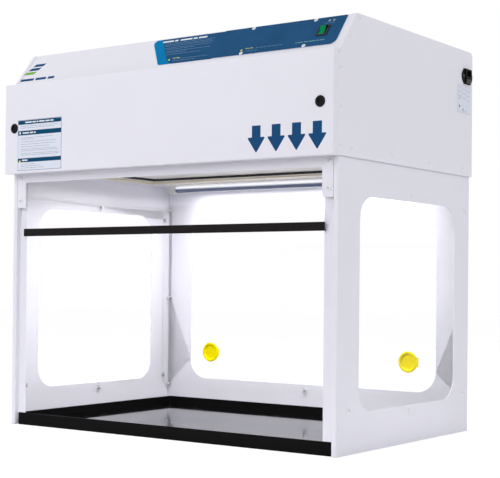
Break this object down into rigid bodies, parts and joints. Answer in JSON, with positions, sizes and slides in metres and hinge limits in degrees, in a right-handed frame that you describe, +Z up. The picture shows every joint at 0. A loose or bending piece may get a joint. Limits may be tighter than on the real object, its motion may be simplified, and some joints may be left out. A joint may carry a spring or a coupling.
{
  "type": "laminar flow hood",
  "caption": "Bench-top vertical laminar flow hood: white sheet-metal enclosure with clear panes, black tray and a filter head on top.",
  "frame": {"origin": "on the bench plane, midway between the sides and midway between the door's face and the back of the head", "axes": "+X to the user's right, +Y to the back, +Z up"},
  "size_m": [0.9233, 0.6142, 0.885],
  "materials": {
    "paint_white": "fine white powder coat",
    "paint_white_inner": "fine white powder coat",
    "tray_black": "black, finely grained",
    "surface_black": "polished black",
    "clear_acrylic": "clear",
    "strip_black": "black, satin",
    "plug_yellow": "soft yellow vinyl",
    "steel_bright": "bright zinc",
    "lock_black": "black, satin",
    "screw_white": "white domed head",
    "overlay_blue": "blue printed film",
    "label_white": "printed film",
    "plastic_black": "moulded black",
    "rocker_green": "translucent green",
    "gasket_black": "closed-cell foam",
    "frame_cream": "cream paint",
    "filter_board": "raw fibre board",
    "filter_paper": "white glass-fibre paper",
    "galvanised": "galvanised",
    "cast_aluminium": "die cast",
    "pad_grey": "open foam",
    "tube_glass": "white inside"
  },
  "bodies": {
    "hood": {"side_panel_right": "paint_white", "side_panel_left": "paint_white", "back_panel": "paint_white", "spill_tray": "tray_black", "work_surface": "surface_black", "side_pane_right": "clear_acrylic", "side_pane_left": "clear_acrylic", "back_pane": "clear_acrylic", "pane_bolts": "screw_white", "pane_nuts": "steel_bright", "front_shield": "clear_acrylic", "shield_bracket": "paint_white", "shield_edge_strip": "strip_black", "shield_screws": "screw_white", "shield_nuts": "steel_bright", "head_side_left": "paint_white", "head_side_right": "paint_white", "head_cover": "paint_white", "head_back": "paint_white", "base_pan": "paint_white_inner", "head_screws": "screw_white", "lock_keepers": "galvanised", "control_plate": "paint_white", "slope_overlay": "overlay_blue", "plate_overlay": "overlay_blue", "control_plate_screws": "screw_white", "switch_body": "plastic_black", "rating_label": "label_white", "power_inlet": "plastic_black", "inlet_screws": "steel_bright", "filter_gasket": "gasket_black", "diffuser_grille": "paint_white_inner", "filter_frame": "filter_board", "filter_media": "filter_paper", "filter_retainer": "frame_cream", "plenum_box": "galvanised", "blower_deck": "galvanised", "clamp_rods": "steel_bright", "intake_ring": "galvanised", "motor_stator": "cast_aluminium", "motor_bracket": "galvanised", "intake_grille": "paint_white", "prefilter_pad": "pad_grey", "prefilter_rails": "galvanised", "lamp_tray": "paint_white_inner", "lamp_holders": "plastic_black", "lamp_tube": "tube_glass", "lamp_ballast": "galvanised"},
    "door": {"access_door": "paint_white", "lock_bodies": "lock_black", "lock_nuts": "steel_bright", "instruction_label": "label_white"},
    "lock_left": {"lock_core_left": "lock_black"},
    "lock_right": {"lock_core_right": "lock_black"},
    "rocker": {"switch_rocker": "rocker_green"},
    "plug_left": {"port_plug_left": "plug_yellow"},
    "plug_right": {"port_plug_right": "plug_yellow"},
    "wheel": {"impeller": "galvanised", "motor_rotor": "cast_aluminium"},
    "drawer": {"fuse_drawer": "plastic_black"}
  },
  "joints": [
    {"name": "door_slide", "type": "slide", "parent": "hood", "child": "door", "axis": [0, -1, 0], "range_m": [0, 0.1]},
    {"name": "left_lock_turn", "type": "hinge", "parent": "door", "child": "lock_left", "pos_m": [-0.4256, -0.305, 0.697], "axis": [0, 1, 0], "range_deg": [0, 90]},
    {"name": "right_lock_turn", "type": "hinge", "parent": "door", "child": "lock_right", "pos_m": [0.4256, -0.305, 0.697], "axis": [0, 1, 0], "range_deg": [0, 90]},
    {"name": "rocker_turn", "type": "hinge", "parent": "hood", "child": "rocker", "pos_m": [0.393, -0.24498, 0.849], "axis": [1, 0, 0], "range_deg": [-18, 0]},
    {"name": "left_plug_pull", "type": "slide", "parent": "hood", "child": "plug_left", "axis": [0, -1, 0], "range_m": [0, 0.03]},
    {"name": "right_plug_pull", "type": "slide", "parent": "hood", "child": "plug_right", "axis": [0, -1, 0], "range_m": [0, 0.03]},
    {"name": "wheel_turn", "type": "hinge", "parent": "hood", "child": "wheel", "pos_m": [0, -0.05, 0.75], "axis": [0, 0, 1], "continuous": true},
    {"name": "drawer_pull", "type": "slide", "parent": "hood", "child": "drawer", "axis": [1, 0, 0], "range_m": [0, 0.012]}
  ]
}
